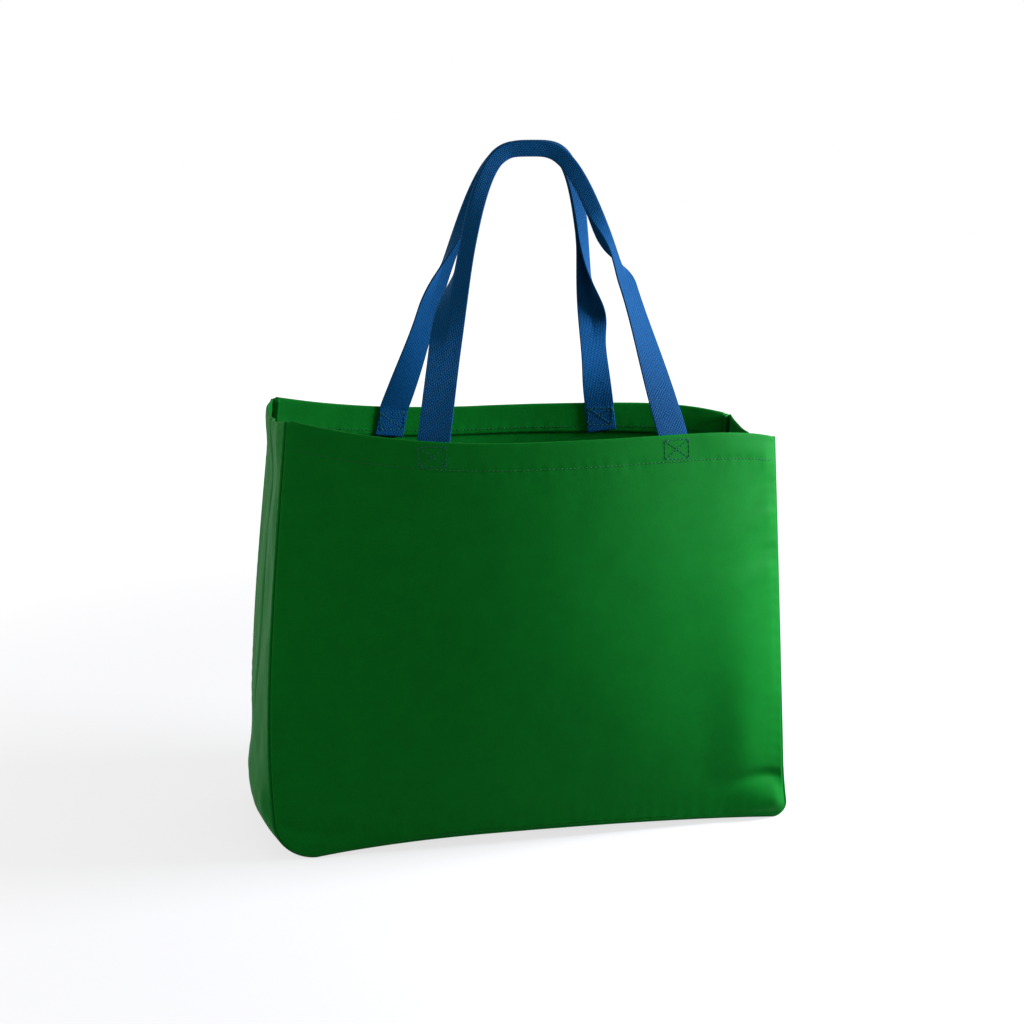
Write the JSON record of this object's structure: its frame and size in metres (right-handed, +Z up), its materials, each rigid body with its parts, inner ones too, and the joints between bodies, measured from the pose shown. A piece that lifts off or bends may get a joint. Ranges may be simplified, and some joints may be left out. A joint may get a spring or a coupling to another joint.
{
  "type": "plastic carrier bag",
  "caption": "Reusable green carrier bag of non-woven plastic cloth, standing open and full-shaped, with blue webbing handles sewn inside its hemmed rim.",
  "frame": {"origin": "on the floor, at the middle of the flat underside of the base", "axes": "+Z up, +X to the right along the bag's width as seen from the front, -Y towards the viewer; the front panel faces -Y"},
  "size_m": [0.4481, 0.2258, 0.5585],
  "materials": {
    "panel_green": "matt spun-bonded cloth with a fine dimple emboss",
    "gusset_green": "matt spun-bonded cloth with a fine dimple emboss",
    "webbing_blue": "matt woven webbing",
    "thread_blue": "twisted sewing thread"
  },
  "bodies": {
    "root": {"front_panel": "panel_green", "back_panel": "panel_green", "gusset_band": "gusset_green", "front_handle": "webbing_blue", "back_handle": "webbing_blue", "stitch_box_front_left": "thread_blue", "stitch_box_front_right": "thread_blue", "stitch_box_back_left": "thread_blue", "stitch_box_back_right": "thread_blue"}
  },
  "joints": []
}
